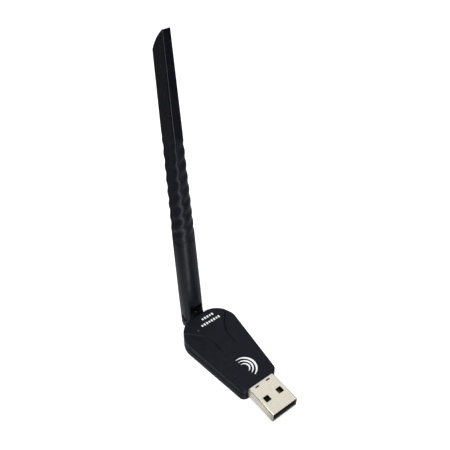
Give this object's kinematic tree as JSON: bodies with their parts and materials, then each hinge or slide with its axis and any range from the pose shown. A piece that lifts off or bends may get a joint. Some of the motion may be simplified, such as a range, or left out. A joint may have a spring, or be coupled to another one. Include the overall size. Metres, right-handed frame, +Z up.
{
  "type": "usb wifi adapter",
  "caption": "Tapered black plastic case with a USB-A plug at the narrow end and a long blade antenna on a swivel-and-fold hinge at the arched end.",
  "frame": {"origin": "middle of the USB plug where it leaves the case", "axes": "+Y from the plug towards the antenna end, +X across the case's width, +Z up from the flat underside; at rest the antenna stands up along +Z, leaning 4.7 degrees away from the plug"},
  "size_m": [0.0242, 0.0721, 0.1274],
  "materials": {
    "case_plastic": "fine spark-textured moulding",
    "antenna_plastic": "satin moulding",
    "plug_metal": "bright nickel plating",
    "insulator_plastic": "smooth moulding",
    "contact_gold": "gold plating",
    "board_laminate": "solder mask",
    "chip_epoxy": "moulded epoxy",
    "can_metal": "satin",
    "ferrite": "sintered",
    "ceramic": "fired ceramic",
    "led_resin": "translucent resin",
    "clear_plastic": "clear moulding",
    "cable_jacket": "smooth extruded jacket",
    "solder": "bright",
    "nylon": "natural nylon",
    "pin_steel": "blackened",
    "brass": "drawn tube and wire"
  },
  "bodies": {
    "case": {"top_shell": "case_plastic", "bottom_shell": "case_plastic", "plug_shell": "plug_metal", "plug_insulator": "insulator_plastic", "plug_contacts": "contact_gold", "circuit_board": "board_laminate", "wifi_chip": "chip_epoxy", "memory_chip": "chip_epoxy", "voltage_regulator": "chip_epoxy", "crystal": "can_metal", "inductors": "ferrite", "capacitors": "ceramic", "resistors": "chip_epoxy", "status_led": "led_resin", "light_guide": "clear_plastic", "board_cable": "cable_jacket", "solder_joints": "solder"},
    "swivel_joint": {"swivel": "antenna_plastic", "friction_washer": "nylon", "hinge_cable": "cable_jacket"},
    "antenna": {"antenna_base": "antenna_plastic", "antenna_cover": "antenna_plastic", "hinge_pin": "pin_steel", "antenna_cable": "cable_jacket", "antenna_sleeve": "brass", "antenna_element": "brass", "antenna_spacers": "nylon"}
  },
  "joints": [
    {"name": "antenna_swivel", "type": "hinge", "parent": "case", "child": "swivel_joint", "pos_m": [0, 0.0402, 0.00035], "axis": [0, 1, 0], "range_deg": [-90, 90]},
    {"name": "antenna_fold", "type": "hinge", "parent": "swivel_joint", "child": "antenna", "pos_m": [0, 0.0451, 0.00035], "axis": [1, 0, 0], "range_deg": [-85.3, 4.7]}
  ]
}
